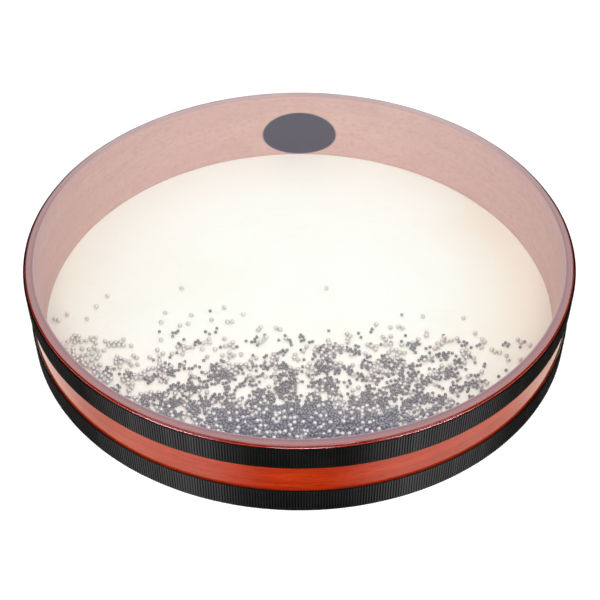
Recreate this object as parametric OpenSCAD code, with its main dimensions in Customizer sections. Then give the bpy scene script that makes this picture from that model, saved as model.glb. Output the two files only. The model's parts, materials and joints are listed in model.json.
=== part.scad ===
// Ocean drum: a shallow round frame drum with a clear film head on top and a skin head below.
// Loose metal balls roll on the skin between the two heads and sound like surf.
// Millimetres. The drum lies on its skin head at z = 0, Z is up and its front faces -Y.

/* [Hoop] */
// Outer diameter of the bent wood hoop
hoop_d = 457.2; // [400:0.1:560]
// Height of the hoop
hoop_h = 69.85; // [60:0.05:90]
// Thickness of the hoop's wall
wall = 8; // [6:0.5:10]
// Rounding of the hoop's upper outer edge
top_round = 2.5; // [1.5:0.1:3]
// Rounding of the hoop's lower outer edge
bottom_round = 1.2; // [0.8:0.1:2]
// Rounding of the hoop's inner edges
inner_round = 1.2; // [0.6:0.1:2]

/* [Heads] */
// Thickness of the film head
film_t = 0.25; // [0.15:0.05:0.5]
// Height of the film's collar down the outside of the hoop
film_collar = 17; // [14:0.5:18]
// Thickness of the skin head
skin_t = 0.6; // [0.4:0.1:1]
// Height of the skin's collar up the outside of the hoop
skin_collar = 18; // [14:0.5:20]

/* [Ribbon] */
// Thickness of the ribbon tape
tape_t = 1.15; // [0.9:0.05:1.6]
// Width of the upper tape
upper_tape_w = 21; // [19:0.5:24]
// Drop from the film's top face to the upper tape
upper_tape_drop = 1.7; // [1:0.1:3]
// Width of the lower tape
lower_tape_w = 22.2; // [20.5:0.1:25]
// Lift of the lower tape above the skin's lower face
lower_tape_lift = 0.3; // [0.1:0.1:1]

/* [Staples] */
// Number of staples in each head's collar
staples = 36; // [12:1:60]
// Width of a staple's crown
crown_w = 10; // [6:0.5:12]
// Thickness of a staple's crown
crown_t = 0.5; // [0.3:0.05:0.7]
// Width of the staple wire
wire_w = 1.2; // [0.8:0.1:1.6]
// Length of a staple's legs
leg_l = 5; // [3:0.5:5.5]

/* [Inside label] */
// Width of the oval label on the far inner wall
label_w = 75; // [40:1:90]
// Height of the oval label
label_h = 50; // [30:1:54]
// Height of the label's lower edge above the skin
label_lift = 1; // [0.5:0.5:3]
// Thickness of the label
label_t = 0.2; // [0.1:0.05:0.5]
// Layer of glue between the wall and the label
glue_t = 0.1; // [0.05:0.05:0.3]

/* [Balls] */
// Diameter of a dark ball
dark_d = 2.8; // [2:0.1:3.2]
// Diameter of a bright ball
bright_d = 4; // [3.4:0.1:4.5]
// Gap between balls in neighbouring lanes and rows
ball_gap = 0.4; // [0.3:0.05:1]
// Gap between the wall and the outermost balls
wall_gap = 0.4; // [0.3:0.05:1]
// Gap between the skin and a ball
seat_gap = 0.55; // [0.3:0.05:1]
// Size of the patches that the loose balls gather in
patch = 46; // [20:1:80]

/* [Hidden] */
STRIPS = 8;
strip_numbers = [1 : STRIPS];

$fn = 96;
ball_fn = 24;
cut_over = 1;
cut_gap = 0.05;

hoop_r = hoop_d / 2;
inner_r = hoop_r - wall;
hoop_z = skin_t;
hoop_top = hoop_z + hoop_h;
drum_top = hoop_top + film_t;
film_r = hoop_r + film_t;
skin_r = hoop_r + skin_t;

// Levels of the two rows of staples, at the middle of each collar
film_staple_z = hoop_top - film_collar / 2;
skin_staple_z = hoop_z + skin_collar / 2;
staple_step = 360 / staples;
leg_place = (crown_w - wire_w) / 2;

label_z = hoop_z + label_lift + label_h / 2;
label_back_r = inner_r - glue_t;
label_face_r = label_back_r - label_t;
label_points = 72;

// A quarter of a band round a corner of radius r, in the first quadrant
module corner_band(r, t) {
  intersection() {
    difference() {
      circle(r = r + t);
      circle(r = r);
    }
    square(r + t);
  }
}

// What a rounded edge takes off a square corner, in the first quadrant
module corner_waste(r) {
  difference() {
    square(r + cut_over);
    circle(r = r);
  }
}

// One row of staple legs, r_out is the radius of the face that the crowns lie on
module legs(r_out, z, length) {
  for (i = [0 : staples - 1], side = [-1, 1])
    rotate([0, 0, i * staple_step])
      translate([r_out - length, side * leg_place - wire_w / 2, z - wire_w / 2])
        cube([length, wire_w, wire_w]);
}

module crowns(r_in, z, gap) {
  for (i = [0 : staples - 1])
    rotate([0, 0, i * staple_step])
      translate([r_in - gap, -crown_w / 2 - gap, z - wire_w / 2 - gap])
        cube([crown_t + 2 * gap, crown_w + 2 * gap, wire_w + 2 * gap]);
}

module hoop_section() {
  difference() {
    translate([inner_r, 0]) square([wall, hoop_h]);
    translate([hoop_r - top_round, hoop_h - top_round]) corner_waste(top_round);
    translate([hoop_r - bottom_round, bottom_round]) mirror([0, 1]) corner_waste(bottom_round);
    translate([inner_r + inner_round, hoop_h - inner_round])
      mirror([1, 0]) corner_waste(inner_round);
    translate([inner_r + inner_round, inner_round])
      mirror([1, 0]) mirror([0, 1]) corner_waste(inner_round);
  }
}

// Section of a head that lies on an edge of the given rounding and hangs down by its collar
module head_section(round_r, t, collar) {
  square([hoop_r - round_r, t]);
  translate([hoop_r - round_r, -round_r]) corner_band(round_r, t);
  translate([hoop_r, -collar]) square([t, collar - round_r]);
}

module hoop() {
  color("#b5401f")
    difference() {
      translate([0, 0, hoop_z]) rotate_extrude() hoop_section();
      legs(film_r, film_staple_z, leg_l);
      legs(skin_r, skin_staple_z, leg_l);
    }
}

module film_head() {
  color("#f3ede6", 0.35)
    difference() {
      translate([0, 0, hoop_top]) rotate_extrude() head_section(top_round, film_t, film_collar);
      legs(film_r, film_staple_z, leg_l);
    }
}

module skin_head() {
  color("#efe0c2")
    difference() {
      translate([0, 0, hoop_z])
        mirror([0, 0, 1]) rotate_extrude() head_section(bottom_round, skin_t, skin_collar);
      legs(skin_r, skin_staple_z, leg_l);
    }
}

module tape(r, z, w, staple_z) {
  color("#1c1b1e")
    difference() {
      translate([0, 0, z])
        rotate_extrude() translate([r, 0]) square([tape_t, w]);
      crowns(r, staple_z, cut_gap);
    }
}

module upper_tape() {
  tape(film_r, drum_top - upper_tape_drop - upper_tape_w, upper_tape_w, film_staple_z);
}

module lower_tape() {
  tape(skin_r, lower_tape_lift, lower_tape_w, skin_staple_z);
}

module film_staples() {
  color("#b9bcc0") {
    legs(film_r, film_staple_z, leg_l);
    crowns(film_r, film_staple_z, 0);
  }
}

module skin_staples() {
  color("#b9bcc0") {
    legs(skin_r, skin_staple_z, leg_l);
    crowns(skin_r, skin_staple_z, 0);
  }
}

// A thin slice that follows the inner wall, cut to an oval
module inside_label() {
  color("#4d4a5c")
    intersection() {
      translate([0, 0, label_z - label_h / 2])
        difference() {
          cylinder(r = label_back_r, h = label_h);
          translate([0, 0, -cut_over]) cylinder(r = label_face_r, h = label_h + 2 * cut_over);
        }
      translate([0, hoop_r, label_z])
        rotate([90, 0, 0])
          linear_extrude(2 * wall)
            polygon([for (i = [0 : label_points - 1])
              let (a = i * 360 / label_points) [cos(a) * label_w / 2, sin(a) * label_h / 2]]);
    }
}

// The balls lie in lanes that run front to back, so that strips of lanes slide past each other.
// Places are shares of the inner radius, across (x) and towards the back (y).
// The strips fill this share of the inner width, and the side groups lie beyond them.
strips_width_share = 0.72;
// From the front wall to the pile's edge the balls lie close, then they thin out to the last edge.
pile_edge_share = -0.6;
last_edge_share = -0.17;
// How full the lanes are in the pile, and just behind it
pile_fill_share = 0.78;
loose_fill_share = 0.55;
patch_depth_share = 0.6;
// Shares of bright balls in the pile, at the last edge, and near the left wall
pile_bright_share = 0.12;
last_bright_share = 0.8;
left_bright_share = 0.7;
left_zone_share = -0.55;
// Single balls that have run ahead of the rest
stray_bright_shares = [
  [-0.48, 0.06], [0.11, 0.06], [-0.81, -0.05], [-0.92, -0.1], [-0.3, -0.06],
  [-0.53, -0.09], [-0.43, -0.1], [-0.22, -0.1], [0.49, -0.11], [0.64, -0.12],
  [0.3, -0.155], [-0.155, -0.17]];
stray_dark_shares = [[-0.36, -0.01], [0.4, -0.1], [-0.77, 0.01], [0.12, -0.14]];
// Where each row of random numbers starts
fill_seed = 7;
kind_seed = 1007;
sway_seed = 2007;
creep_seed = 3007;
phase_seed = 4007;

lane_w = bright_d + ball_gap;
strip_lanes = floor(strips_width_share * 2 * inner_r / STRIPS / lane_w);
half_lanes = STRIPS * strip_lanes / 2;
side_lanes = floor(inner_r / lane_w) - half_lanes;
rows = floor((1 + last_edge_share) * inner_r / lane_w);
run_r = label_face_r - wall_gap;

// Lane 0 is the first lane of the leftmost strip
function strip_start(i) = (i - 1) * strip_lanes;
function lane_x(lane) = (lane - half_lanes + 0.5) * lane_w;
function lane_of(share) = floor(share * inner_r / lane_w + half_lanes);
function held(x, y, d) = x * x + y * y <= pow(run_r - d / 2, 2);
function ball_d(bright) = bright ? bright_d : dark_d;

// From 0 at the last edge to 1 at the pile's edge and beyond
function depth_at(y) =
  min(1, max(0, (last_edge_share - y / inner_r) / (last_edge_share - pile_edge_share)));
function patch_at(x, y) =
  1 + patch_depth_share * sin(360 * (x + y) / patch) * cos(360 * (x - y) / patch);
function fill_at(x, y) =
  depth_at(y) == 1 ? pile_fill_share : loose_fill_share * depth_at(y) * patch_at(x, y);
function bright_at(x, y) =
  x < left_zone_share * inner_r ? left_bright_share
    : last_bright_share + (pile_bright_share - last_bright_share) * sqrt(depth_at(y));

// Every ball of one kind in one lane: [x, y]
function lane_balls(lane, bright) =
  let (
    d = ball_d(bright),
    room = (lane_w - d - ball_gap) / 2,
    fill = rands(0, 1, rows, fill_seed + lane),
    kind = rands(0, 1, rows, kind_seed + lane),
    sway = rands(-1, 1, rows, sway_seed + lane),
    creep = rands(-1, 1, rows, creep_seed + lane),
    phase = rands(0, 1, 1, phase_seed + lane)[0])
  [for (row = [0 : rows - 1])
    let (
      x = lane_x(lane) + sway[row] * room,
      y = -inner_r + (row + phase) * lane_w + creep[row] * room)
    if (held(x, y, d) && fill[row] < fill_at(x, y) && (kind[row] < bright_at(x, y)) == bright)
      [x, y]];

function stray_balls(from_lane, to_lane, bright) =
  [for (s = bright ? stray_bright_shares : stray_dark_shares)
    let (lane = lane_of(s[0]), x = lane_x(lane), y = s[1] * inner_r)
    if (lane >= from_lane && lane <= to_lane && held(x, y, ball_d(bright))) [x, y]];

function group(from_lane, to_lane, bright) =
  concat(
    [for (lane = [from_lane : to_lane]) each lane_balls(lane, bright)],
    stray_balls(from_lane, to_lane, bright));

module balls(from_lane, to_lane, bright) {
  d = ball_d(bright);
  color(bright ? "#d5d7dc" : "#5f6478")
    for (p = group(from_lane, to_lane, bright))
      translate([p[0], p[1], skin_t + seat_gap + d / 2]) sphere(d = d, $fn = ball_fn);
}

module strip_balls(i, bright) {
  balls(strip_start(i), strip_start(i + 1) - 1, bright);
}

module left_balls(bright) {
  balls(-side_lanes, -1, bright);
}

module right_balls(bright) {
  balls(strip_start(STRIPS + 1), strip_start(STRIPS + 1) + side_lanes - 1, bright);
}

hoop();
film_head();
skin_head();
upper_tape();
lower_tape();
film_staples();
skin_staples();
inside_label();
for (i = strip_numbers) {
  strip_balls(i, false);
  strip_balls(i, true);
}
left_balls(false);  // wave_balls_dark_left
left_balls(true);  // wave_balls_bright_left
right_balls(false);  // wave_balls_dark_right
right_balls(true);  // wave_balls_bright_right
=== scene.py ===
import json
import math

import bmesh
import bpy
import numpy as np
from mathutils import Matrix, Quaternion, Vector


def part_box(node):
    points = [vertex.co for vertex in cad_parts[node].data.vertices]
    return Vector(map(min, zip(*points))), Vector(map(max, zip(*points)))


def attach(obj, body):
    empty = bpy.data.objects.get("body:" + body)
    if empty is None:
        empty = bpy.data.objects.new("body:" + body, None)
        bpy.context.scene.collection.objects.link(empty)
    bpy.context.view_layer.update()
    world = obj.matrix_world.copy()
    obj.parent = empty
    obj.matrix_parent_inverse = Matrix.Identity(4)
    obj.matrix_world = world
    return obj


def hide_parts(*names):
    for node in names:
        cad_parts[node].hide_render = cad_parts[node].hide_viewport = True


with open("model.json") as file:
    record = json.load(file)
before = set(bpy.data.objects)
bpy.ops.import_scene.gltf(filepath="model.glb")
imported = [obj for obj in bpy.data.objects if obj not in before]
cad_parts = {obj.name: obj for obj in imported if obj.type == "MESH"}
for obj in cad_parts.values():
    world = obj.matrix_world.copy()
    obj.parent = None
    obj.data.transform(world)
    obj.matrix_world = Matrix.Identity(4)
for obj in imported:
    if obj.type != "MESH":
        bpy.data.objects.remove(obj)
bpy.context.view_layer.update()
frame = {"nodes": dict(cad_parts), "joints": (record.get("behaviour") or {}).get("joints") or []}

# Names of the shader sockets are Blender's own. Lengths are in metres, angles in radians,
# and tones are red, green and blue.
MM = 0.001
DEG = math.pi / 180


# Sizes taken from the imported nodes

def spans(node):
    """(smallest radius, largest radius, lowest z, highest z) of a CAD node."""
    co = np.array([v.co for v in frame["nodes"][node].data.vertices])
    far = np.hypot(co[:, 0], co[:, 1])
    return far.min(), far.max(), co[:, 2].min(), co[:, 2].max()


HOOP_IN, HOOP_OUT, HOOP_LOW, HOOP_HIGH = spans("hoop")
_, FILM_OUT, FILM_LOW, FILM_HIGH = spans("film_head")
_, SKIN_OUT, SKIN_LOW, SKIN_HIGH = spans("skin_head")
UPPER_IN, UPPER_OUT, UPPER_LOW, UPPER_HIGH = spans("upper_tape")
LOWER_IN, LOWER_OUT, LOWER_LOW, LOWER_HIGH = spans("lower_tape")
REACH = {j["name"]: j.get("range_m", [0, 0])[1] for j in frame["joints"]}

# Rounds of the hoop's edges, as in the CAD
TOP_ROUND = 2.5 * MM
BOTTOM_ROUND = 1.2 * MM
INNER_ROUND = 1.2 * MM
FILM_T = FILM_HIGH - HOOP_HIGH
SKIN_TOP = HOOP_LOW


# Shader helpers

def put(tree, kind, inputs=None, **choices):
    """Adds a shader node, sets its choices and gives its sockets a value, a tone or a link."""
    node = tree.nodes.new("ShaderNode" + kind)
    for name, value in choices.items():
        setattr(node, name, value)
    for name, value in (inputs or {}).items():
        socket = node.inputs[name]
        if isinstance(value, bpy.types.NodeSocket):
            tree.links.new(value, socket)
        elif socket.type == "RGBA":
            socket.default_value = (*value, 1.0)
        else:
            socket.default_value = value
    return node


def maths(tree, operation, a, b=0.0):
    return put(tree, "Math", {0: a, 1: b}, operation=operation).outputs[0]


def times(tree, a, b):
    return maths(tree, "MULTIPLY", a, b)


def rise(tree, value, low, high):
    """From 0 at low to 1 at high, smoothly. Where high is the smaller one, it falls as the value grows."""
    inputs = {"Value": value, "From Min": low, "From Max": high}
    return put(tree, "MapRange", inputs, interpolation_type="SMOOTHSTEP").outputs[0]


def near(tree, value, middle, reach, core):
    """1 where a value lies within core of a middle, falling smoothly to 0 where it lies reach away."""
    return rise(tree, maths(tree, "ABSOLUTE", maths(tree, "SUBTRACT", value, middle)), reach, core)


def tint(tree, share, a, b):
    """Tone a where share is 0 and tone b where it is 1."""
    return put(tree, "Mix", {0: share, 6: a, 7: b}, data_type="RGBA").outputs[2]


def over(tree, base, share, most, tone):
    """A tone laid over a base. Where share is 1 it covers as much as most says."""
    return tint(tree, times(tree, share, most), base, tone)


def mixed(tree, share, a, b):
    """Shader a where share is 0 and shader b where it is 1."""
    return put(tree, "MixShader", {0: share, 1: a.outputs[0], 2: b.outputs[0]})


def place(tree):
    """(position, x, y, z, distance from the drum's axis) of the surface, as sockets."""
    point = put(tree, "TexCoord").outputs["Object"]
    x, y, z = put(tree, "SeparateXYZ", {0: point}).outputs
    flat = put(tree, "CombineXYZ", {"X": x, "Y": y})
    far = put(tree, "VectorMath", {0: flat.outputs[0]}, operation="LENGTH").outputs["Value"]
    return point, x, y, z, far


def noise(tree, point, scale, detail=3.0, rough=0.5, warp=0.0):
    """Smooth noise with a scale of its own along each axis, in cells a metre."""
    stretched = put(tree, "Mapping", {"Vector": point, "Scale": scale}).outputs[0]
    inputs = {"Vector": stretched, "Scale": 1.0, "Detail": detail, "Roughness": rough, "Distortion": warp}
    return put(tree, "TexNoise", inputs).outputs[0]


def bump(tree, height, depth, strength):
    return put(tree, "Bump", {"Height": height, "Distance": depth, "Strength": strength}).outputs[0]


def new_material(name):
    """(material, its node tree, its output node), empty otherwise."""
    material = bpy.data.materials.new(name)
    material.use_nodes = True
    tree = material.node_tree
    tree.nodes.clear()
    return material, tree, tree.nodes.new("ShaderNodeOutputMaterial")


def finish(tree, output, shader):
    tree.links.new(shader.outputs[0], output.inputs["Surface"])


# The wood

RED_DARK = (0.38, 0.020, 0.002)
RED_LIGHT = (0.54, 0.043, 0.004)
RED_FLECK = (0.23, 0.010, 0.002)
RED_SHADE = (0.16, 0.008, 0.003)
# Painted shade: the deep red of the hoop's upper corner
RED_CORNER_SHADE = (0.17, 0.010, 0.005)
STAIN_FRONT = (0.21, 0.105, 0.125)
STAIN_SIDE_REFLECTION = (0.32, 0.17, 0.145)
STAIN_BACK_REFLECTION = (0.57, 0.43, 0.39)
STAIN_STREAK = (0.36, 0.19, 0.17)
STAIN_SHADE_LINE = (0.20, 0.085, 0.09)
STAIN_WARM = (0.34, 0.142, 0.112)
STAIN_LIP = (0.49, 0.32, 0.29)
BARE_DARK = (0.60, 0.375, 0.315)
BARE_LIGHT = (0.67, 0.43, 0.36)
BARE_CLOUD = (0.54, 0.31, 0.24)
BARE_GLOW = (0.70, 0.50, 0.36)
BARE_PORE = (0.42, 0.24, 0.19)
BARE_SPECK = (0.46, 0.255, 0.195)


def lacquer_shader(tree, point, z, streak, fine):
    """Red gloss lacquer with painted shade along the lower ribbon and a painted shade line at the upper
    corner, coatless below the film.
    """
    red = tint(tree, rise(tree, streak, 0.36, 0.66), RED_DARK, RED_LIGHT)
    fleck = noise(tree, point, (95, 95, 1100), 3.0, 0.65, 0.2)
    red = over(tree, red, rise(tree, fleck, 0.50, 0.70), 0.60, RED_FLECK)
    red = over(tree, red, near(tree, z, LOWER_HIGH, 2.2 * MM, 0.2 * MM), 0.35, RED_SHADE)
    # Painted shade: the upper corner under the film is darkened to a deep red line
    corner_shade = rise(tree, z, HOOP_HIGH - 1.4 * MM, HOOP_HIGH - 1.15 * MM)
    red = tint(tree, corner_shade, red, RED_CORNER_SHADE)
    coated = put(tree, "BsdfPrincipled", {
        "Base Color": red, "Roughness": 0.5, "Normal": bump(tree, fine, 0.05 * MM, 0.5),
        "IOR": 1.45, "Specular IOR Level": 0.05,
        "Coat Weight": 0.95, "Coat Roughness": 0.06, "Coat IOR": 1.5})
    covered = put(tree, "BsdfPrincipled", {"Base Color": red, "Roughness": 0.5, "Specular IOR Level": 0.05})
    return mixed(tree, rise(tree, z, FILM_LOW - 0.4 * MM, FILM_LOW), coated, covered)


def stain_shader(tree, y, far, streak, pores):
    """The dull top face, darkest in front and lighter towards the sides and back by painted reflection, with
    a painted shade line and a warm edge in front and a pale inner lip.
    """
    # Painted reflection: the top face lightens from the front towards the sides and the back
    dull = tint(tree, rise(tree, y, -0.24, 0.0), STAIN_FRONT, STAIN_SIDE_REFLECTION)
    dull = tint(tree, rise(tree, y, 0.0, 0.22), dull, STAIN_BACK_REFLECTION)
    dull = over(tree, dull, rise(tree, streak, 0.3, 0.7), 0.5, STAIN_STREAK)
    # Painted shade: a dark line along the inner edge of the top face, in front
    line = near(tree, far, HOOP_IN + 2.3 * MM, 1.1 * MM, 0.4 * MM)
    line = times(tree, line, rise(tree, y, 0.18, 0.0))
    dull = over(tree, dull, line, 0.5, STAIN_SHADE_LINE)
    warm = rise(tree, far, HOOP_OUT - 5 * MM, HOOP_OUT - 3 * MM)
    warm = times(tree, warm, rise(tree, y, 0.0, -0.12))
    dull = over(tree, dull, warm, 0.8, STAIN_WARM)
    lip = rise(tree, far, HOOP_IN + INNER_ROUND * 1.2, HOOP_IN + INNER_ROUND * 0.6)
    dull = tint(tree, lip, dull, STAIN_LIP)
    return put(tree, "BsdfPrincipled", {
        "Base Color": dull, "Roughness": 0.6, "Normal": bump(tree, pores, 0.05 * MM, 0.4)})


def bare_shader(tree, point, streak, fine, pores):
    """The pale inner wall, clouded, with open pores and fine specks."""
    pale = tint(tree, rise(tree, streak, 0.3, 0.72), BARE_DARK, BARE_LIGHT)
    cloud = noise(tree, point, (13, 13, 30), 4.0, 0.6, 0.4)
    glow = noise(tree, point, (6, 6, 16), 3.0, 0.5, 0.3)
    speck = noise(tree, point, (190, 190, 330), 3.0, 0.7)
    pale = over(tree, pale, rise(tree, cloud, 0.5, 0.75), 0.35, BARE_CLOUD)
    pale = over(tree, pale, rise(tree, glow, 0.55, 0.72), 0.45, BARE_GLOW)
    pale = over(tree, pale, rise(tree, pores, 0.58, 0.7), 0.3, BARE_PORE)
    pale = over(tree, pale, rise(tree, speck, 0.46, 0.66), 0.34, BARE_SPECK)
    return put(tree, "BsdfPrincipled", {
        "Base Color": pale, "Roughness": 0.62, "Normal": bump(tree, fine, 0.08 * MM, 0.5)})


def wood_material():
    """Bent wood: red lacquer outside, a dull stained top face and bare pale wood inside."""
    material, tree, output = new_material("hoop_wood_look")
    point, _, y, z, far = place(tree)
    broad = noise(tree, point, (9, 9, 120), 4.0, 0.6, 0.5)
    fine = noise(tree, point, (40, 40, 900), 4.0, 0.65, 0.2)
    pores = noise(tree, point, (60, 60, 2600), 2.0, 0.5)
    streak = maths(tree, "ADD", times(tree, broad, 0.6), times(tree, fine, 0.4))
    lacquer = lacquer_shader(tree, point, z, streak, fine)
    stained = stain_shader(tree, y, far, streak, pores)
    bare = bare_shader(tree, point, streak, fine, pores)
    outside = rise(tree, far, HOOP_OUT - TOP_ROUND * 0.54, HOOP_OUT - TOP_ROUND * 0.44)
    above = rise(tree, z, HOOP_HIGH - INNER_ROUND * 1.05, HOOP_HIGH - INNER_ROUND * 0.85)
    finish(tree, output, mixed(tree, outside, mixed(tree, above, bare, stained), lacquer))
    return material


# The two heads

WHITE = (1.0, 1.0, 1.0)
FILM_SHINE = (0.73, 0.70, 0.92)
FILM_IOR = 1.95
SKIN_WHITE = (0.89, 0.935, 0.845)
SKIN_CREAM = (0.885, 0.90, 0.79)
SKIN_BACK_PAINTED_LIGHT = (0.94, 0.98, 0.89)
SKIN_FRONT = (0.945, 0.915, 0.82)
SKIN_RIGHT = (0.89, 0.81, 0.64)
SKIN_LEFT = (0.92, 0.87, 0.73)
SKIN_FIBRE = (0.74, 0.62, 0.47)
SKIN_SPOT = (0.66, 0.52, 0.38)


def film_material():
    """Clear polyester film: it mirrors at its outer face and lets the rest through."""
    material, tree, output = new_material("film_look")
    point, _, _, _, far = place(tree)
    waves = noise(tree, point, (26, 26, 26), 2.0, 0.5)
    creases = noise(tree, point, (210, 210, 20), 2.0, 0.5)
    rim = rise(tree, far, HOOP_OUT - 6 * MM, HOOP_OUT - 1 * MM)
    creased = times(tree, rise(tree, creases, 0.52, 0.72), rim)
    height = maths(tree, "ADD", times(tree, waves, 0.05), times(tree, creased, 0.012))
    mirror = put(tree, "BsdfAnisotropic", {
        "Color": FILM_SHINE, "Roughness": 0.035, "Normal": bump(tree, height, 0.6 * MM, 0.6)})
    clear = put(tree, "BsdfTransparent", {"Color": WHITE})
    shine = put(tree, "Fresnel", {"IOR": FILM_IOR}).outputs[0]
    back = put(tree, "NewGeometry").outputs["Backfacing"]
    share = times(tree, shine, maths(tree, "SUBTRACT", 1.0, back))
    finish(tree, output, mixed(tree, share, clear, mirror))
    return material


def skin_material():
    """Natural drum skin: cream, faintly clouded and veined, yellower towards both sides, with painted light
    towards the back.
    """
    material, tree, output = new_material("skin_look")
    point, x, y, _, _ = place(tree)
    cloud = noise(tree, point, (7, 7, 7), 4.0, 0.55, 0.6)
    fibre = noise(tree, point, (30, 240, 30), 4.0, 0.6, 0.4)
    spots = noise(tree, point, (160, 160, 160), 2.0, 0.5)
    side = maths(tree, "ADD", x, times(tree, maths(tree, "SUBTRACT", cloud, 0.5), 0.12))
    base = tint(tree, rise(tree, cloud, 0.35, 0.7), SKIN_WHITE, SKIN_CREAM)
    # Painted light: the skin is lightened towards the back
    base = over(tree, base, rise(tree, y, 0.0, 0.18), 0.6, SKIN_BACK_PAINTED_LIGHT)
    base = over(tree, base, rise(tree, y, -0.02, -0.10), 0.85, SKIN_FRONT)
    base = over(tree, base, rise(tree, side, 0.09, 0.23), 0.75, SKIN_RIGHT)
    base = over(tree, base, rise(tree, side, -0.13, -0.24), 0.6, SKIN_LEFT)
    base = over(tree, base, rise(tree, fibre, 0.55, 0.75), 0.12, SKIN_FIBRE)
    base = over(tree, base, rise(tree, spots, 0.66, 0.74), 0.12, SKIN_SPOT)
    relief = maths(tree, "ADD", times(tree, fibre, 0.5), times(tree, spots, 0.5))
    finish(tree, output, put(tree, "BsdfPrincipled", {
        "Base Color": base, "Roughness": 0.62, "IOR": 1.4, "Normal": bump(tree, relief, 0.12 * MM, 0.5)}))
    return material


# The ribbons, the label, the staples and the balls

RIBBON_WEFT = (0.034, 0.034, 0.035)
RIBBON_PAINTED_SHEEN = (0.080, 0.078, 0.081)
RIBBON_PAINTED_SHADE = (0.002, 0.002, 0.002)
UPPER_GREYS = (0.006, 0.013)
LOWER_GREYS = (0.014, 0.022)
LABEL_DARK = (0.010, 0.008, 0.011)
LABEL_LIGHT = (0.017, 0.014, 0.018)
LABEL_EDGE = (0.34, 0.24, 0.20)
STEEL = (0.52, 0.51, 0.5)
STEEL_TARNISH = (0.34, 0.31, 0.28)
# Tones of the darker and the lighter spots and of the pile in front, this last one painted light, how
# metallic, and how rough
DARK_METAL = ((0.215, 0.205, 0.195), (0.41, 0.39, 0.375), (0.32, 0.335, 0.41), 0.55, 0.33)
BRIGHT_METAL = ((0.70, 0.675, 0.635), (0.86, 0.84, 0.80), (0.92, 0.93, 0.95), 0.75, 0.28)


def ribbon_material(outer_r, dark, light):
    """Black ribbed ribbon, with painted shade in the grooves and on the right and a painted sheen beside the
    front.
    """
    material, tree, output = new_material("ribbon_look")
    point, x, y, _, far = place(tree)
    fuzz = noise(tree, point, (900, 900, 900), 2.0, 0.6)
    weft = noise(tree, point, (700, 700, 2600), 2.0, 0.6)
    wear = noise(tree, point, (24, 24, 60), 3.0, 0.6)
    base = tint(tree, rise(tree, wear, 0.35, 0.75), (dark, dark, dark), (light, light, light))
    base = over(tree, base, rise(tree, weft, 0.55, 0.75), 0.5, RIBBON_WEFT)
    # Painted sheen: lighter bands on both sides of the front
    aside = maths(tree, "DIVIDE", maths(tree, "ABSOLUTE", x), outer_r)
    painted_sheen = times(tree, near(tree, aside, 0.43, 0.30, 0.08), rise(tree, y, 0.0, -0.05))
    base = over(tree, base, painted_sheen, 0.8, RIBBON_PAINTED_SHEEN)
    # Painted shade: the ribbon darkens on the right
    right = rise(tree, maths(tree, "DIVIDE", x, outer_r), 0.66, 0.78)
    base = over(tree, base, right, 0.6, RIBBON_PAINTED_SHADE)
    # Painted shade: the grooves between the ribs darken
    groove = rise(tree, far, outer_r - 0.06 * MM, outer_r - 0.22 * MM)
    base = over(tree, base, groove, 0.85, RIBBON_PAINTED_SHADE)
    relief = maths(tree, "ADD", times(tree, fuzz, 0.5), weft)
    finish(tree, output, put(tree, "BsdfPrincipled", {
        "Base Color": base, "Roughness": 0.6, "IOR": 1.45, "Specular IOR Level": 0.02,
        "Normal": bump(tree, relief, 0.12 * MM, 0.7)}))
    return material


def label_material():
    """A plain dark oval with a thin pale edge."""
    material, tree, output = new_material("label_look")
    low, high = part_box("inside_label")
    middle = (low.z + high.z) / 2
    point, x, _, z, _ = place(tree)
    across = maths(tree, "DIVIDE", x, (high.x - low.x) / 2)
    up = maths(tree, "DIVIDE", maths(tree, "SUBTRACT", z, middle), (high.z - low.z) / 2)
    oval = put(tree, "CombineXYZ", {"X": across, "Y": up}).outputs[0]
    out = put(tree, "VectorMath", {0: oval}, operation="LENGTH").outputs["Value"]
    fleck = noise(tree, point, (500, 500, 500), 3.0, 0.6)
    dark = tint(tree, rise(tree, fleck, 0.35, 0.7), LABEL_DARK, LABEL_LIGHT)
    base = tint(tree, rise(tree, out, 0.955, 0.985), dark, LABEL_EDGE)
    finish(tree, output, put(tree, "BsdfPrincipled", {
        "Base Color": base, "Roughness": 0.45, "Normal": bump(tree, fleck, 0.03 * MM, 0.4)}))
    return material


def staple_material():
    """Flat steel staple wire with drawing lines and a little tarnish."""
    material, tree, output = new_material("staple_look")
    point = place(tree)[0]
    lines = noise(tree, point, (300, 300, 4000), 2.0, 0.5)
    spots = noise(tree, point, (400, 400, 400), 3.0, 0.6)
    base = tint(tree, rise(tree, spots, 0.4, 0.75), STEEL, STEEL_TARNISH)
    finish(tree, output, put(tree, "BsdfPrincipled", {
        "Base Color": base, "Metallic": 1.0, "Roughness": 0.34, "Normal": bump(tree, lines, 0.02 * MM, 0.4)}))
    return material


def shot_material(name, dark, light, deep, metal, rough):
    """Metal balls with a little tarnish. As painted light, the balls of the pile in front take half of the
    tone deep.
    """
    material, tree, output = new_material(name)
    point, _, y, _, _ = place(tree)
    patch = noise(tree, point, (420, 420, 420), 2.0, 0.5)
    pits = noise(tree, point, (2200, 2200, 2200), 2.0, 0.5)
    base = tint(tree, rise(tree, patch, 0.35, 0.7), dark, light)
    # Painted light: the balls of the pile in front take half of the tone deep
    base = tint(tree, rise(tree, y, -0.115, -0.15), base, tint(tree, 0.5, base, deep))
    finish(tree, output, put(tree, "BsdfPrincipled", {
        "Base Color": base, "Metallic": metal, "Roughness": rough,
        "Normal": bump(tree, pits, 0.02 * MM, 0.3)}))
    return material


# Mesh helpers

def arc(r, z, radius, start, end, steps=6):
    """Points of an arc round (r, z), with its angles in degrees."""
    turns = [(start + (end - start) * k / steps) * DEG for k in range(steps + 1)]
    return [(r + radius * math.cos(t), z + radius * math.sin(t)) for t in turns]


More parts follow.
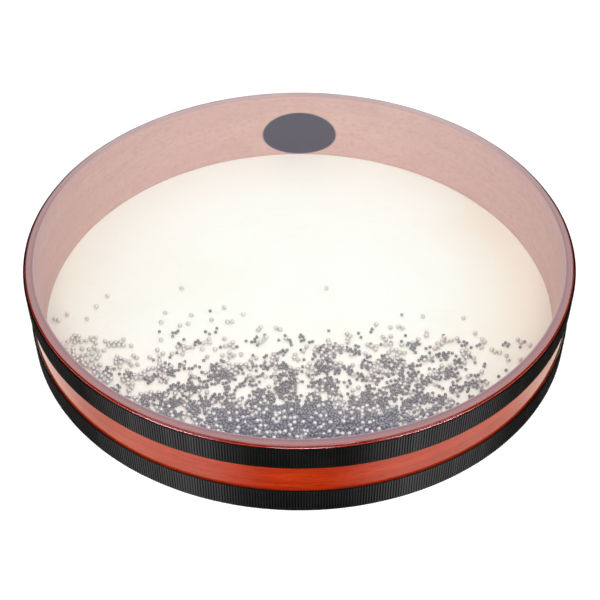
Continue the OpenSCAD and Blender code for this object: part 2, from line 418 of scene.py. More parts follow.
def steps_between(first, last, count):
    """Points between two others, without them."""
    return [tuple(a + (b - a) * k / (count + 1) for a, b in zip(first, last)) for k in range(1, count + 1)]


def add_object(name, verts, faces, material, sharp=30):
    """A smooth mesh object. Edges of more than sharp degrees stay sharp, unless sharp is 0."""
    mesh = bpy.data.meshes.new(name)
    mesh.from_pydata(verts, [], faces)
    mesh.validate()
    mesh.shade_smooth()
    if sharp:
        mesh.set_sharp_from_angle(angle=sharp * DEG)
    mesh.materials.append(material)
    thing = bpy.data.objects.new(name, mesh)
    bpy.context.scene.collection.objects.link(thing)
    return thing


def turned(name, profile, columns, material, closed=True, shape=None, sharp=30):
    """A profile of (r, z) turned about the drum's axis. Points with r = 0 close the ends.

    shape(turn, r, z) may change the radii and heights of the whole grid of points."""
    r, z = (np.array(part) for part in zip(*profile))
    turn = np.arange(columns) * 2 * math.pi / columns
    rr, zz = np.tile(r, (columns, 1)), np.tile(z, (columns, 1))
    if shape:
        rr, zz = shape(turn[:, None], rr, zz)
    verts = np.stack([rr * np.cos(turn)[:, None], rr * np.sin(turn)[:, None], zz], -1)
    rows = len(profile)
    faces = []
    for i in range(columns):
        a, b = i * rows, (i + 1) % columns * rows
        for j in range(rows if closed else rows - 1):
            k = (j + 1) % rows
            ends = (a + j, b + j, b + k, a + k)
            if not closed and r[j] == 0:
                ends = (0, b + k, a + k)
            elif not closed and r[k] == 0:
                ends = (a + j, b + j, rows - 1)
            faces.append(ends)
    return add_object(name, verts.reshape(-1, 3).tolist(), faces, material, sharp)


def wander(turn, cells, seed):
    """A smooth closed wave of random height, about -1 to 1, once round the drum."""
    knots = np.random.default_rng(seed).uniform(-1, 1, cells)
    at = turn / (2 * math.pi) * cells
    low = np.floor(at).astype(int)
    t = at - low
    t = t * t * (3 - 2 * t)
    return knots[low % cells] * (1 - t) + knots[(low + 1) % cells] * t


# The hoop and the heads

COLUMNS = 720
FILM_GAP = 0.01 * MM
SKIN_GAP = 0.02 * MM
SKIN_SINK = 0.005 * MM
SKIN_BEND = 1.6 * MM
# Rings of the flat parts of the heads, as shares of their radius
FILM_RINGS = (0.97, 0.8, 0.55, 0.28)
SKIN_RINGS = (0.25, 0.5, 0.75, 0.94)


def make_hoop(material):
    low, high = HOOP_LOW, HOOP_HIGH
    inner = arc(HOOP_IN + INNER_ROUND, low + INNER_ROUND, INNER_ROUND, 180, 270)
    foot = arc(HOOP_OUT - BOTTOM_ROUND, low + BOTTOM_ROUND, BOTTOM_ROUND, 270, 360)
    crown = arc(HOOP_OUT - TOP_ROUND, high - TOP_ROUND, TOP_ROUND, 0, 90, 10)
    lip = arc(HOOP_IN + INNER_ROUND, high - INNER_ROUND, INNER_ROUND, 90, 180)
    profile = inner + foot + steps_between(foot[-1], crown[0], 8) + crown + lip
    profile += steps_between(lip[-1], inner[0], 8)
    hoop = turned("bent_hoop", profile, COLUMNS, material)
    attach(hoop, "drum")
    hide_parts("hoop")


def make_film(material):
    """A closed thin sheet. Its profile runs from the middle of the lower face out and down inside the collar,
    then up outside it and back to the middle."""
    bend = (HOOP_OUT - TOP_ROUND, HOOP_HIGH - TOP_ROUND)
    crown = arc(*bend, TOP_ROUND + FILM_T, 0, 90, 12)
    under = arc(*bend, TOP_ROUND + FILM_GAP, 90, 0, 12)
    flat = [(crown[-1][0] * share, FILM_HIGH) for share in FILM_RINGS]
    flat_under = [(r, HOOP_HIGH + FILM_GAP) for r, _ in reversed(flat)]
    collar = [(FILM_OUT, FILM_LOW)] + steps_between((FILM_OUT, FILM_LOW), crown[0], 2) + crown
    inner_r = HOOP_OUT + FILM_GAP
    collar_in = under + steps_between(under[-1], (inner_r, FILM_LOW), 2) + [(inner_r, FILM_LOW)]
    profile = [(0, HOOP_HIGH + FILM_GAP)] + flat_under + collar_in + collar + flat + [(0, FILM_HIGH)]
    film = turned("clear_film", profile, COLUMNS, material, closed=False)
    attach(film, "drum")
    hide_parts("film_head")


def make_skin(material):
    """A closed sheet. Its profile runs from the middle of the lower face out, up the collar and back in."""
    inner_r = HOOP_OUT + SKIN_GAP
    floor = arc(SKIN_OUT - SKIN_BEND, SKIN_LOW + SKIN_BEND, SKIN_BEND, 270, 360)
    wall = steps_between(floor[-1], (SKIN_OUT, SKIN_HIGH), 3) + [(SKIN_OUT, SKIN_HIGH), (inner_r, SKIN_HIGH)]
    inside = arc(HOOP_OUT - BOTTOM_ROUND, SKIN_TOP + BOTTOM_ROUND, BOTTOM_ROUND + SKIN_GAP, 360, 270)
    top = SKIN_TOP - SKIN_SINK
    lower = [(floor[0][0] * share, SKIN_LOW) for share in SKIN_RINGS]
    upper = [(inside[-1][0] * share, top) for share in reversed(SKIN_RINGS)]
    profile = [(0, SKIN_LOW)] + lower + floor + wall + inside + upper + [(0, top)]
    skin = turned("drum_skin", profile, COLUMNS, material, closed=False)
    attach(skin, "drum")
    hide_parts("skin_head")


# The ribbons

RIBS = 690
RIB_COLUMNS = 6
# Depth of a groove, its share in each column of a rib, and how much the depth varies from rib to rib
GROOVE = 0.42 * MM
RIB_SHAPE = np.array([1.0, 0.6, 0.12, 0.0, 0.12, 0.6])
GROOVE_VARIES = 0.35
BULGE = 0.3 * MM
TAPE_GAP = 0.02 * MM
UPPER_TRIM = 0.3 * MM
UPPER_SEED = 3
LOWER_SEED = 7
# The joint of the ribbon's two ends at the back, with its angles in radians
BUTT_AT = 90 * DEG
BUTT_HALF = 0.0011
BUTT_WANDER = 0.0004
BUTT_WAVES = 40
BUTT_SEED = 5
BUTT_DEPTH = 0.45 * MM
# What lies this close to the staples' largest radius is a crown
CROWN_T = 0.3 * MM
# Room over each crown, how far it reaches above and below it, and past it and fading, in radians
CROWN_ROOM = 0.05 * MM
ROOM_FLAT = 0.3 * MM
ROOM_SLOPE = 1.2 * MM
CROWN_PAST = 0.006
CROWN_FADE = 0.004
STAPLES_APART = 3 * DEG
# How far the ribbon's edges wander inwards, and in how many waves round the drum
EDGE_WANDER = 0.18 * MM
EDGE_WAVES = 90


def crown_spots(node):
    """Middle angle and half-angle of each staple's crown, then their lowest z, highest z and radius."""
    co = np.array([v.co for v in frame["nodes"][node].data.vertices])
    far = np.hypot(co[:, 0], co[:, 1])
    co = co[far > far.max() - CROWN_T]
    turn = np.sort(np.arctan2(co[:, 1], co[:, 0]) % (2 * math.pi))
    breaks = np.nonzero(np.diff(turn) > STAPLES_APART)[0]
    groups = np.split(turn, breaks + 1)
    if turn[0] + 2 * math.pi - turn[-1] < STAPLES_APART:
        groups[0] = np.concatenate([groups[-1] - 2 * math.pi, groups[0]])
        groups = groups[:-1]
    spots = [((g.min() + g.max()) / 2, (g.max() - g.min()) / 2) for g in groups]
    return spots, co[:, 2].min(), co[:, 2].max(), far.max()


def near_crowns(turn, spots):
    """1 over the staples' crowns, falling to 0 beside them."""
    near_one = np.zeros(len(turn))
    for middle, half in spots:
        off = np.abs((turn - middle + math.pi) % (2 * math.pi) - math.pi)
        near_one = np.maximum(near_one, np.clip((half + CROWN_PAST - off) / CROWN_FADE, 0, 1))
    return near_one


def make_tape(name, node, staples, inner_r, outer_r, low, high, seed, material):
    """Ribbed ribbon round the drum. Its back is hollowed over the staples' crowns."""
    spots, crown_low, crown_high, crown_r = crown_spots(staples)
    edge = 0.35 * MM
    rim = 0.1 * MM
    shoulder_r = outer_r - BULGE * 0.45
    bevel_r = outer_r - BULGE * 1.6
    heights = [low + edge, (low + crown_low) / 2, (crown_low + crown_high) / 2]
    heights += [(crown_high + high) / 2, high - edge]
    outside = [(shoulder_r, low + rim)] + [(outer_r, h) for h in heights] + [(shoulder_r, high - rim)]
    ends_top = [(bevel_r, high), (inner_r + rim, high)]
    pocket = [crown_high + ROOM_SLOPE, crown_high + ROOM_FLAT, crown_low - ROOM_FLAT, crown_low - ROOM_SLOPE]
    inside = [(inner_r, h) for h in [high - rim] + pocket + [low + rim]]
    ends_low = [(inner_r + rim, low), (bevel_r, low)]
    profile = outside + ends_top + inside + ends_low
    first_in = len(outside) + len(ends_top)
    columns = RIBS * RIB_COLUMNS

    def shape(turn, r, z):
        groove = RIB_SHAPE[np.arange(columns) % RIB_COLUMNS] * GROOVE
        groove = groove * (1 + GROOVE_VARIES * wander(turn[:, 0], RIBS // 3, seed))
        r[:, :len(outside)] -= groove[:, None]
        r[:, len(outside)] -= groove * 0.6
        sway = wander(turn[:, 0], BUTT_WAVES, BUTT_SEED) * BUTT_WANDER
        butt = np.abs(turn[:, 0] - BUTT_AT + sway) < BUTT_HALF
        r[:, :len(outside)] -= butt[:, None] * BUTT_DEPTH
        room = near_crowns(turn[:, 0], spots) * (crown_r + CROWN_ROOM - inner_r)
        r[:, first_in + 2:first_in + 4] += room[:, None]
        share = (z - (low + high) / 2) / ((high - low) / 2)
        z = z - EDGE_WANDER * (wander(turn, EDGE_WAVES, seed + 1) + 1) / 2 * np.clip(share, 0, 1)
        z = z + EDGE_WANDER * (wander(turn, EDGE_WAVES, seed + 2) + 1) / 2 * np.clip(-share, 0, 1)
        return r, z

    tape = turned(name, profile, columns, material, shape=shape, sharp=40)
    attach(tape, "drum")
    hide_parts(node)


# The loose balls: where they lie on the skin

STRIPS = 8
STRIP_W = 39.6 * MM
DARK_R = 1.4 * MM
BRIGHT_R = 2.0 * MM
RUN_R = HOOP_IN - 0.7 * MM
ROOF = FILM_HIGH - FILM_T - REACH["hop"] - 0.3 * MM
SEAT = 0.05 * MM
# Least and most room that a ball keeps from the sides of its strip
EDGE_ROOM = (-1.3 * MM, 0.1 * MM)
# Width of the edge of a strip whose balls the next strip's balls fit against
EDGE_W = 6 * MM
# How far balls may overlap without its showing
OVERLAP = 0.05 * MM
# Rounds of pushing overlapping balls apart, and how often the pairs are looked up anew
PUSHES = 90
LOOK_UP = 10
PAIR_REACH = 1.5 * MM
# The scattered balls end this far in front of the drum's middle
SCATTER_END = 30 * MM
# Balls of the second layer: places tried for each, how far apart, and the share of bright ones
PLACES = 10
NUDGE = 0.9 * MM
UPPER_BRIGHT = 0.32
FILL_SEED = 100
SPIN_SEED = 200
# Cells of the random table, and how far the balls' streaks are turned
TABLE = 64
STREAK_TURN = 24 * DEG

# Open places on the skin: x, y, half-length, half-width in mm and turn in degrees
CLEARINGS = [
    (-129, -108, 10, 8, 60), (-97, -92, 11, 4, 25), (-61, -107, 15, 5, 20), (-48, -94, 6, 7, 0),
    (-17, -126, 14, 4, -15), (-68, -128, 6, 4, 0), (45, -77, 10, 7, 0), (42, -102, 9, 5, 0),
    (72, -103, 13, 4, 30), (80, -127, 7, 5, 20), (137, -117, 9, 8, 30), (118, -131, 8, 4, 30),
    (108, -83, 9, 4, 0), (5, -121, 8, 6, 0), (2, -97, 6, 4, 0), (-150, -66, 12, 6, 0), (41, -99, 8, 6, 0),
    (-86, -78, 8, 4, -20), (25, -123, 5, 3, 0), (-44, -117, 12, 7, 10), (95, -137, 5, 3, 20),
    (-12, -99, 6, 4, 0), (-33, -116, 7, 4, 0), (-57, -110, 7, 4, 0), (160, -95, 9, 6, 20)]
# Close clusters of dark balls, in the same way
CLUMPS = [
    (-115, -121, 9, 8, 0), (-98, -107, 8, 4, 60), (-70, -84, 6, 4, -30), (-39, -86, 4, 8, 0),
    (-46, -104, 6, 3, 0), (-29, -83, 4, 6, 0), (50, -97, 5, 8, 10),
    (63, -99, 4, 7, 0), (68, -120, 5, 8, 0), (75, -82, 7, 5, 0), (98, -118, 8, 8, 0),
    (123, -93, 10, 4, 20), (-80, -118, 8, 5, 30), (-60, -137, 12, 5, 20), (30, -112, 5, 6, 60),
    (105, -101, 7, 5, 40), (-100, -90, 10, 3, 10), (15, -88, 6, 4, 20),
    (132, -105, 8, 4, 20), (-84, -132, 6, 8, 0), (45, -128, 10, 5, 20), (88, -127, 6, 5, 0)]
# Small groups that have run ahead: x, y in mm, how many, and whether they are bright
RUNNERS = [
    (-105, 13, 1, True), (24, 13, 1, True), (-79, -3, 1, False), (-170, 3, 1, True), (-178, -11, 1, True),
    (-202, -21, 1, True), (-66, -12, 1, True), (-117, -19, 1, True), (-94, -22, 1, True), (-49, -21, 1, True),
    (89, -21, 1, False), (107, -24, 1, True), (142, -26, 1, True), (-76, -28, 1, True), (-60, -31, 2, True),
    (-184, -27, 1, True), (-212, -27, 2, True), (-96, -33, 1, True), (-103, -35, 1, True),
    (-119, -31, 1, True),
    (66, -34, 1, True), (78, -36, 1, True), (88, -37, 2, True), (25, -41, 1, False), (-71, -38, 1, False),
    (-34, -38, 2, True), (-20, -41, 2, True), (60, -42, 2, False), (150, -45, 1, True), (53, -47, 2, False),
    (110, -48, 2, True), (123, -50, 1, True), (142, -56, 3, False), (174, -58, 4, False), (158, -55, 2, True),
    (165, -67, 3, True), (0, -48, 3, False), (10, -56, 2, False), (18, -65, 2, False), (-8, -57, 2, False),
    (40, -50, 4, True), (30, -60, 2, False), (-190, -50, 5, True), (-176, -53, 4, True), (-155, -45, 1, True)]


def eased(value, low, high):
    """From 0 at low to 1 at high, smoothly."""
    t = np.clip((value - low) / (high - low), 0, 1)
    return t * t * (3 - 2 * t)


def grain(seed, u, v):
    """Smooth random values from 0 to 1 over a plane, in cells of one unit, with a finer layer added."""
    table = np.random.default_rng(seed).random((TABLE, TABLE))
    total = np.zeros_like(u)
    for weight, scale, shift in ((0.68, 1.0, 0.0), (0.32, 2.3, 17.3)):
        a, b = u * scale + shift, v * scale + shift
        i, j = np.floor(a).astype(int), np.floor(b).astype(int)
        s, t = a - i, b - j
        s, t = s * s * (3 - 2 * s), t * t * (3 - 2 * t)
        i, j, i_next, j_next = i % TABLE, j % TABLE, (i + 1) % TABLE, (j + 1) % TABLE
        low = table[i, j] * (1 - s) + table[i_next, j] * s
        high = table[i, j_next] * (1 - s) + table[i_next, j_next] * s
        total += weight * (low * (1 - t) + high * t)
    return total


def inside(x, y, ovals):
    """How deep each point lies in the nearest of some ovals: 1 at its middle, 0 at its edge and beyond."""
    deep = np.zeros_like(x)
    for middle_x, middle_y, length, width, turn in ovals:
        c, s = math.cos(turn * DEG), math.sin(turn * DEG)
        dx, dy = x / MM - middle_x, y / MM - middle_y
        u, v = (dx * c + dy * s) / length, (-dx * s + dy * c) / width
        deep = np.maximum(deep, 1 - np.hypot(u, v))
    return deep


def streaks(seed, x, y, length, width):
    """Random values drawn out into streaks that rise to the right."""
    c, s = math.cos(STREAK_TURN), math.sin(STREAK_TURN)
    return grain(seed, (x * c + y * s) / length, (-x * s + y * c) / width)


# The three covers below say where the photograph shows how many balls, with places on the skin in mm.

def dark_cover(x, y):
    """Share of the skin that dark balls cover."""
    px, py = x / MM, y / MM
    start = 69 - 13 * eased(px, -60, 40)
    deep = 0.42 * eased(-py, start, start + 24) + 0.30 * eased(-py, 100, 150)
    deep = deep - 0.3 * eased(-px, 118, 145) - 0.5 * eased(px, 125, 165)
    cells = streaks(11, x, y, 9 * MM, 5 * MM)
    clumps = 0.76 * eased(cells, 0.75 - 0.5 * deep, 0.82 - 0.5 * deep)
    clumps = np.maximum(clumps, 0.72 * eased(inside(x, y, CLUMPS), 0.0, 0.35))
    clumps = clumps * (1 - eased(inside(x, y, CLEARINGS), 0.0, 0.25))
    singles = (0.05 + 0.08 * eased(-py, 70, 105)) * eased(-py, 42, 60) * eased(px, -125, -95)
    ragged = 14 * (streaks(31, x, y, 13 * MM, 7 * MM) - 0.5)
    pile = eased(-py + ragged, 129, 141) * eased(-np.abs(px + 3) + ragged, -79, -57)
    pile = np.maximum(pile, eased(-py + ragged, 150, 162))
    pile = pile * (0.92 - 0.3 * eased(-px, 30, 60) + 0.4 * eased(np.hypot(px, py), 206, 216))
    return np.maximum(np.maximum(clumps, singles), pile) * (1 - 0.5 * eased(px, 135, 165)) * (py < -40)


def bright_cover(x, y):
    """Share of the skin that bright balls cover."""
    px, py = x / MM, y / MM
    cells = streaks(23, x, y, 10 * MM, 6 * MM)
    band = eased(-py, 46, 62) * eased(py, -106, -76)
    top = 44 + 16 * eased(px, -185, -160) - 8 * eased(px, -130, -110)
    left = eased(-px, 86, 130) * eased(-py, top, top + 14)
    cover = np.maximum(band * 0.52 * eased(cells, 0.43, 0.69), left * 0.52 * eased(cells, 0.26, 0.66))
    cover = np.maximum(cover, 0.11 * eased(-py, 62, 82) + 0.09 * eased(-py, 112, 130))
    cover = cover * (1 - 0.6 * eased(px, 130, 160))
    return cover * (1 - eased(inside(x, y, CLEARINGS), 0.0, 0.2)) * (py < -38)


def upper_cover(x, y):
    """Share of the first layer that balls of a second one cover, most where two strips meet."""
    px, py = x / MM, y / MM
    middle = eased(-py, 134, 152) * eased(-np.abs(px), -83, -57)
    joint = np.abs((x / STRIP_W + 0.5) % 1 - 0.5) * STRIP_W / MM
    share = 0.7 + 0.3 * eased(-joint, -3.0, -1.5)
    return share * np.maximum(middle, eased(-py, 155, 172) * (1 - 0.4 * eased(-px, 30, 60)))


def scatter(rng, low_x, high_x, cover, radius):
    """Random points over a strip of the skin, as close as the cover asks."""
    area = (high_x - low_x) * (RUN_R - SCATTER_END)
    tries = rng.poisson(area / (math.pi * radius ** 2))
    x = rng.uniform(low_x, high_x, tries)
    y = rng.uniform(-RUN_R, -SCATTER_END, tries)
    keep = (np.hypot(x, y) < RUN_R - radius) & (rng.random(tries) < cover(x, y))
    return x[keep], y[keep]


def hold(x, y, r, room, low_x, high_x, run):
    """Puts balls back inside their strip, the wall and the line from which the strip can still run."""
    x = np.clip(x, low_x + r + room, high_x - r - room)
    half = np.sqrt(np.maximum((RUN_R - r) ** 2 - x ** 2, 0))
    return x, np.clip(y, -half, half - run)


def settle(x, y, r, room, fixed, low_x, high_x, run):
    """Pushes balls that overlap apart. The last ones, fixed in number, stay where they are."""
    own = len(x) - fixed
    size = len(x)
    still_x, still_y = x[own:].copy(), y[own:].copy()
    for step in range(PUSHES):
        if step % LOOK_UP == 0:
            far = np.hypot(x[:, None] - x, y[:, None] - y)
            i, j = np.nonzero(np.triu(far < r[:, None] + r + PAIR_REACH, 1))
        dx, dy = x[i] - x[j], y[i] - y[j]
        far = np.maximum(np.hypot(dx, dy), 0.001 * MM)
        push = np.maximum(r[i] + r[j] - far, 0) / far * 0.5
        x = x + np.bincount(i, push * dx, size) - np.bincount(j, push * dx, size)
        y = y + np.bincount(i, push * dy, size) - np.bincount(j, push * dy, size)
        x, y = hold(x, y, r, room, low_x, high_x, run)
        x[own:], y[own:] = still_x, still_y
    return x[:own], y[:own]


def apart(x, y, z, r, others):
    """Which balls overlap none of the others by more than the overlap that doesn't show."""
    other_x, other_y, other_z, other_r = others[:4]
    far = np.sqrt((x[:, None] - other_x) ** 2 + (y[:, None] - other_y) ** 2 + (z[:, None] - other_z) ** 2)
    return (far > r[:, None] + other_r - OVERLAP).all(1)


def rest_height(x, y, r, below):
    """Height of a ball's centre where it comes to rest on the balls below or on the skin."""
    other_x, other_y, other_z, other_r = below
    lift = (other_r + r) ** 2 - (other_x - x) ** 2 - (other_y - y) ** 2
    on = lift > 0
    lowest = SKIN_TOP + SEAT + r
    return max(lowest, (other_z[on] + np.sqrt(lift[on])).max()) if on.any() else lowest


def runner_groups(rng, low_x, high_x):
    """Columns x, y, radius and brightness of each group that has run ahead within a strip."""
    groups = []
    for middle_x, middle_y, count, bright in RUNNERS:
        if low_x <= middle_x * MM < high_x:
            radius = BRIGHT_R if bright else DARK_R
            x = middle_x * MM + rng.normal(0, radius * (count > 1), count)
            y = middle_y * MM + rng.normal(0, radius * (count > 1), count)
            groups.append((x, y, np.full(count, radius), np.full(count, bright)))
    return groups


def fill_strip(seed, low_x, high_x, run, before, before_run):
    """Columns x, y, z, radius and brightness of the balls of one strip.

    They fit against the balls of the strip before it, at rest and where both strips have run to the end."""
    rng = np.random.default_rng(seed)
    edge = [column[before[0] > low_x - EDGE_W] for column in before]
    moved = [edge[0], edge[1] + before_run - run] + edge[2:]
    edge = [np.concatenate(both) for both in zip(edge, moved)]
    groups = []
    for cover, radius, bright in ((dark_cover, DARK_R, False), (bright_cover, BRIGHT_R, True)):
        x, y = scatter(rng, low_x, high_x, cover, radius)
        groups.append((x, y, np.full(len(x), radius), np.full(len(x), bright)))
    groups += runner_groups(rng, low_x, high_x)
    x, y, r, bright = (np.concatenate(column) for column in zip(*groups))
    # of the strip before, only the balls that lie on the skin push
    first = edge[2] < SKIN_TOP + SEAT + 1.01 * edge[3]
    pairs = zip((x, y, r), (edge[0], edge[1], edge[3]))
    joined = [np.concatenate([mine, other[first]]) for mine, other in pairs]
    room = rng.uniform(*EDGE_ROOM, len(joined[0]))
    x, y = settle(*joined, room, int(first.sum()), low_x, high_x, run)
    balls = [x, y, SKIN_TOP + SEAT + r, r, bright]
    free = apart(*balls[:4], moved)
    balls = [column[free] for column in balls]
    add_layer(rng, balls, edge, low_x, high_x, run)
    return balls


def add_layer(rng, balls, edge, low_x, high_x, run):
    """A second layer: each ball takes the lowest of some places round its own."""
    for start_x, start_y in zip(*scatter(rng, low_x, high_x, upper_cover, DARK_R)):
        bright = rng.random() < UPPER_BRIGHT
        radius = BRIGHT_R if bright else DARK_R
        below = [np.concatenate([mine, other]) for mine, other in zip(balls[:4], edge[:4])]
        best = None
        for _ in range(PLACES):
            x, y = start_x + rng.normal(0, NUDGE), start_y + rng.normal(0, NUDGE)
            x, y = hold(np.array(x), np.array(y), radius, rng.uniform(*EDGE_ROOM), low_x, high_x, run)
            z = rest_height(float(x), float(y), radius, below)
            if best is None or z < best[2]:
                best = (float(x), float(y), z)
        if best[2] + radius < ROOF:
            for k, value in enumerate((*best, radius, bright)):
                balls[k] = np.append(balls[k], value)


# The loose balls: their meshes

def ball_template(finer):
    """Corner points and triangles of a small sphere of radius 1."""
    mesh = bmesh.new()
    bmesh.ops.create_icosphere(mesh, subdivisions=finer, radius=1.0)
    verts = np.array([v.co[:] for v in mesh.verts])
    faces = np.array([[v.index for v in face.verts] for face in mesh.faces])
    mesh.free()
    return verts, faces


def ball_group(name, x, y, z, r, template, seed, material):
    """One object of many separate balls, each turned its own way."""
    verts, faces = template
    rng = np.random.default_rng(seed)
    spin = [Quaternion(q).normalized().to_matrix() for q in rng.normal(size=(len(x), 4))]
    ball_verts = np.einsum("nij,vj->nvi", np.array(spin), verts) * r[:, None, None]
    ball_verts += np.stack([x, y, z], -1)[:, None]
    ball_faces = faces[None] + (np.arange(len(x)) * len(verts))[:, None, None]
    return add_object(name, ball_verts.reshape(-1, 3).tolist(), ball_faces.reshape(-1, 3).tolist(),
                      material, sharp=0)


def make_balls(dark_metal, bright_metal):
    """The strips from left to right, each fitted against the one before."""
    edges = [-RUN_R] + [(k - STRIPS / 2) * STRIP_W for k in range(STRIPS + 1)] + [RUN_R]
    names = ["left"] + [str(k) for k in range(1, STRIPS + 1)] + ["right"]
    bodies = ["swirling_balls"] + [f"strip_{k}" for k in range(1, STRIPS + 1)] + ["hopping_balls"]
    before, before_run = [np.zeros(0)] * 5, 0
    for k, (name, body) in enumerate(zip(names, bodies)):
        run = REACH.get(f"wave_{name}", 0)
        balls = fill_strip(FILL_SEED + k, edges[k], edges[k + 1], run, before, before_run)
        before, before_run = balls, run
        is_bright = balls[4].astype(bool)
        for kind, mine, template, metal in (
                ("dark", ~is_bright, ball_template(2), dark_metal),
                ("bright", is_bright, ball_template(3), bright_metal)):
            x, y, z, r = (column[mine] for column in balls[:4])
            group = ball_group(f"{kind}_shot_{name}", x, y, z, r, template, SPIN_SEED + k, metal)
            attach(group, body)
            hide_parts(f"wave_balls_{kind}_{name}")


# The camera, as it was fitted to the photograph. Its sensor and focal length are in mm.

CAMERA_AT = (0.0, -0.7513, 0.6873)
CAMERA_AIM = (0.00046, 0.0, 0.00009)
CAMERA_ROLL = -0.038 * DEG
SENSOR_W = 36.0
FOCAL = 69.09


def make_camera():
    camera = bpy.data.objects.new("camera", bpy.data.cameras.new("camera"))
    bpy.context.scene.collection.objects.link(camera)
    camera.data.sensor_width = SENSOR_W
    camera.data.lens = FOCAL
    camera.location = CAMERA_AT
    aim = Vector(CAMERA_AIM) - camera.location
    camera.rotation_mode = "QUATERNION"
    camera.rotation_quaternion = aim.to_track_quat("-Z", "Y") @ Quaternion((0, 0, 1), CAMERA_ROLL)
    bpy.context.scene.camera = camera


# The floor

FLOOR_Z = -0.2 * MM
FLOOR_HOLE = SKIN_OUT - 6 * MM
FLOOR_OUT = 1.8
FLOOR_FADE = (0.9, 1.7)
FLOOR_SIDES = 72
FLOOR_SEEN = (0.80, 0.80, 0.80)
FLOOR_GLOW = 0.42
FLOOR_BOUNCE = (0.55, 0.55, 0.55)
BLACK = (0.0, 0.0, 0.0)
# What the drum's gloss mirrors of the floor: a warm white, and farther in front the light line of the rim
MIRRORED = (1.18, 1.13, 0.98)
LINE_DIM = (0.9, 0.8, 0.7)
LINE_BRIGHT = (10.5, 9.9, 8.3)


def mirrored_floor(tree, x, y, far):
    """The floor as the drum mirrors it: light at the sides and behind, and a bright line far in front."""
    aside = maths(tree, "DIVIDE", maths(tree, "ABSOLUTE", x), far)
    dip = times(tree, near(tree, aside, 0.74, 0.14, 0.03), 0.25)
    end = times(tree, rise(tree, maths(tree, "DIVIDE", x, far), 0.86, 0.94), 0.2)
    side = times(tree, rise(tree, aside, 0.08, 0.40), maths(tree, "SUBTRACT", 1.05, dip))
    side = times(tree, side, maths(tree, "SUBTRACT", 1.0, end))
    behind = rise(tree, y, -0.12, 0.05)
    close = rise(tree, far, HOOP_OUT + 0.16, HOOP_OUT + 0.09)
    bright = times(tree, maths(tree, "MAXIMUM", side, behind), close)
    shown = tint(tree, bright, BLACK, MIRRORED)
    boxes = maths(tree, "MAXIMUM", rise(tree, aside, 0.22, 0.10), near(tree, aside, 0.60, 0.22, 0.10))
    line = tint(tree, boxes, LINE_DIM, LINE_BRIGHT)
    ahead = times(tree, rise(tree, far, HOOP_OUT + 0.11, HOOP_OUT + 0.16), rise(tree, y, 0.0, -0.15))
    return put(tree, "Emission", {"Color": tint(tree, ahead, shown, line)})


def floor_material():
    """Pale to the camera, darker to diffuse light, clear from below and far out."""
    material, tree, output = new_material("floor")
    _, x, y, _, far = place(tree)
    path = put(tree, "LightPath").outputs
    back = put(tree, "NewGeometry").outputs["Backfacing"]
    seen = put(tree, "BsdfDiffuse", {"Color": FLOOR_SEEN})
    lit = put(tree, "Emission", {"Color": WHITE, "Strength": FLOOR_GLOW})
    pale = put(tree, "AddShader", {0: seen.outputs[0], 1: lit.outputs[0]})
    bounce = put(tree, "BsdfDiffuse", {"Color": FLOOR_BOUNCE})
    floor = mixed(tree, path["Is Glossy Ray"], bounce, mirrored_floor(tree, x, y, far))
    floor = mixed(tree, path["Is Camera Ray"], floor, pale)
    clear = put(tree, "BsdfTransparent", {"Color": WHITE})
    gone = maths(tree, "MAXIMUM", back, rise(tree, far, *FLOOR_FADE))
    finish(tree, output, mixed(tree, gone, floor, clear))
    return material


def make_floor():
    """A flat ring, open below the drum."""
    count = 2 * FLOOR_SIDES
    turns = [k * 360 / FLOOR_SIDES * DEG for k in range(FLOOR_SIDES)]
    ring = [(r * math.cos(t), r * math.sin(t), FLOOR_Z) for t in turns for r in (FLOOR_HOLE, FLOOR_OUT)]
    sides = [(2 * k, 2 * k + 1, (2 * k + 3) % count, (2 * k + 2) % count) for k in range(FLOOR_SIDES)]
    floor = add_object("floor", ring, sides, floor_material(), sharp=0)


# The world and the lamps

WORLD_DARK = (0.02, 0.02, 0.02)
WORLD_BEHIND = (0.90, 0.90, 0.90)
FRONT_DIM = (1.2, 1.1, 1.0)
FRONT_BRIGHT = (5.5, 5.0, 4.6)
WINDOW_AT = {"X": 0.42, "Y": -0.42, "Z": 0.80}
WINDOW_BRIGHT = (3.4, 3.4, 3.4)
SKY_LOW = (0.42, 0.42, 0.42)
SKY_HIGH = (0.98, 0.98, 0.98)
# Name, angle from the front and height angle in degrees, distance, size, and the share of light it gives
LAMPS = [
    ("front_softbox", 0, 52, 1.6, 0.8, 0.55),
    ("left_softbox", -42, 25, 1.8, 0.9, 0.12),
    ("right_softbox", 42, 25, 1.8, 0.9, 0.12)]


def mirrored_outdoors(tree, way):
    """What the drum's outside mirrors: dark, with a light band low in front and a light panel high behind."""
    behind = times(tree, rise(tree, way[2], 0.40, 0.52), rise(tree, way[1], 0.12, 0.34))
    low = times(tree, rise(tree, way[2], -0.04, 0.0),
                rise(tree, way[2], math.sin(5 * DEG), math.sin(1 * DEG)))
    ahead = times(tree, low, rise(tree, way[1], 0.1, -0.2))
    aside = maths(tree, "ABSOLUTE", way[0])
    boxes = maths(tree, "MAXIMUM", rise(tree, aside, 0.22, 0.10), near(tree, aside, 0.74, 0.20, 0.06))
    front = tint(tree, boxes, FRONT_DIM, FRONT_BRIGHT)
    return tint(tree, ahead, tint(tree, behind, WORLD_DARK, WORLD_BEHIND), front)


def mirrored_indoors(tree, way_in):
    """What the balls mirror through the film: white, with one bright window."""
    towards = put(tree, "CombineXYZ", WINDOW_AT).outputs[0]
    facing = put(tree, "VectorMath", {0: way_in, 1: towards}, operation="DOT_PRODUCT").outputs["Value"]
    window = rise(tree, facing, math.cos(20 * DEG), math.cos(11 * DEG))
    return tint(tree, window, WHITE, WINDOW_BRIGHT)


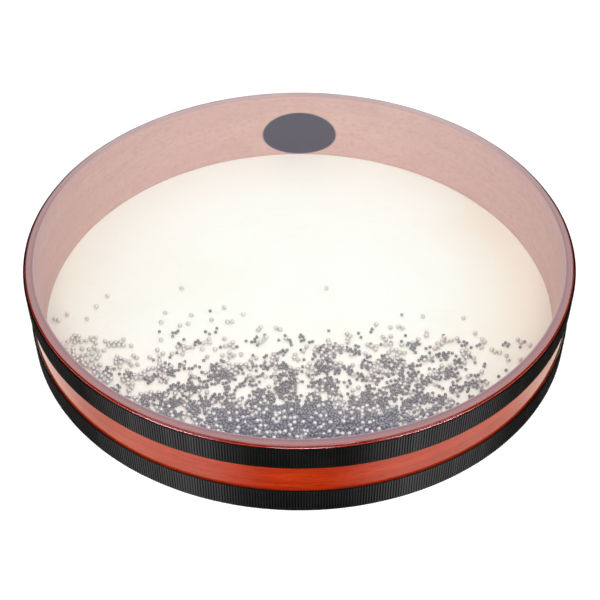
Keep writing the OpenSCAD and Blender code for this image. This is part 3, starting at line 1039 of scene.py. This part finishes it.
def make_world():
    """White to the camera, a soft sky to diffuse light, and a studio to what mirrors it."""
    world = bpy.data.worlds.new("studio")
    bpy.context.scene.world = world
    world.use_nodes = True
    tree = world.node_tree
    tree.nodes.clear()
    way_in = put(tree, "TexCoord").outputs["Generated"]
    way = put(tree, "SeparateXYZ", {0: way_in}).outputs
    path = put(tree, "LightPath").outputs
    shown = maths(tree, "MAXIMUM", path["Is Camera Ray"], path["Is Transmission Ray"])
    within = maths(tree, "GREATER_THAN", path["Transparent Depth"], 0.5)
    studio = tint(tree, within, mirrored_outdoors(tree, way), mirrored_indoors(tree, way_in))
    mirrored = put(tree, "Background", {"Color": studio})
    sky = tint(tree, rise(tree, way[2], 0.1, 1.0), SKY_LOW, SKY_HIGH)
    around = put(tree, "Background", {"Color": sky})
    white = put(tree, "Background", {"Color": WHITE})
    lit = mixed(tree, path["Is Glossy Ray"], around, mirrored)
    output = tree.nodes.new("ShaderNodeOutputWorld")
    finish(tree, output, mixed(tree, shown, lit, white))


def make_lamp(name, turn, lift, distance, size, share):
    """A square softbox that faces the drum."""
    lamp = bpy.data.objects.new(name, bpy.data.lights.new(name, "AREA"))
    bpy.context.scene.collection.objects.link(lamp)
    flat, high = distance * math.cos(lift * DEG), distance * math.sin(lift * DEG)
    lamp.location = (flat * math.sin(turn * DEG), -flat * math.cos(turn * DEG), high)
    lamp.rotation_mode = "QUATERNION"
    lamp.rotation_quaternion = (-lamp.location).to_track_quat("-Z", "Y")
    lamp.data.size = size
    lamp.visible_glossy = False
    lamp.data.energy = share * math.pi ** 2 * distance ** 2


# The whole scene

def dress(node, material):
    """Gives a CAD node that is kept a new material."""
    frame["nodes"][node].data.materials.clear()
    frame["nodes"][node].data.materials.append(material)


def main():
    for name in ("Cube", "Camera", "Light"):
        if name in bpy.data.objects:
            bpy.data.objects.remove(bpy.data.objects[name])
    bpy.context.scene.view_settings.view_transform = "Standard"
    make_camera()
    make_world()
    make_floor()
    for lamp in LAMPS:
        make_lamp(*lamp)

    make_hoop(wood_material())
    make_film(film_material())
    make_skin(skin_material())
    make_tape("upper_ribbon", "upper_tape", "film_staples", UPPER_IN + TAPE_GAP, UPPER_OUT,
              UPPER_LOW, UPPER_HIGH - UPPER_TRIM, UPPER_SEED, ribbon_material(UPPER_OUT, *UPPER_GREYS))
    make_tape("lower_ribbon", "lower_tape", "skin_staples", LOWER_IN + TAPE_GAP, LOWER_OUT,
              LOWER_LOW, LOWER_HIGH, LOWER_SEED, ribbon_material(LOWER_OUT, *LOWER_GREYS))
    dress("inside_label", label_material())
    frame["nodes"]["inside_label"].visible_diffuse = False
    steel = staple_material()
    dress("film_staples", steel)
    dress("skin_staples", steel)
    make_balls(shot_material("dark_shot_look", *DARK_METAL), shot_material("bright_shot_look", *BRIGHT_METAL))


main()
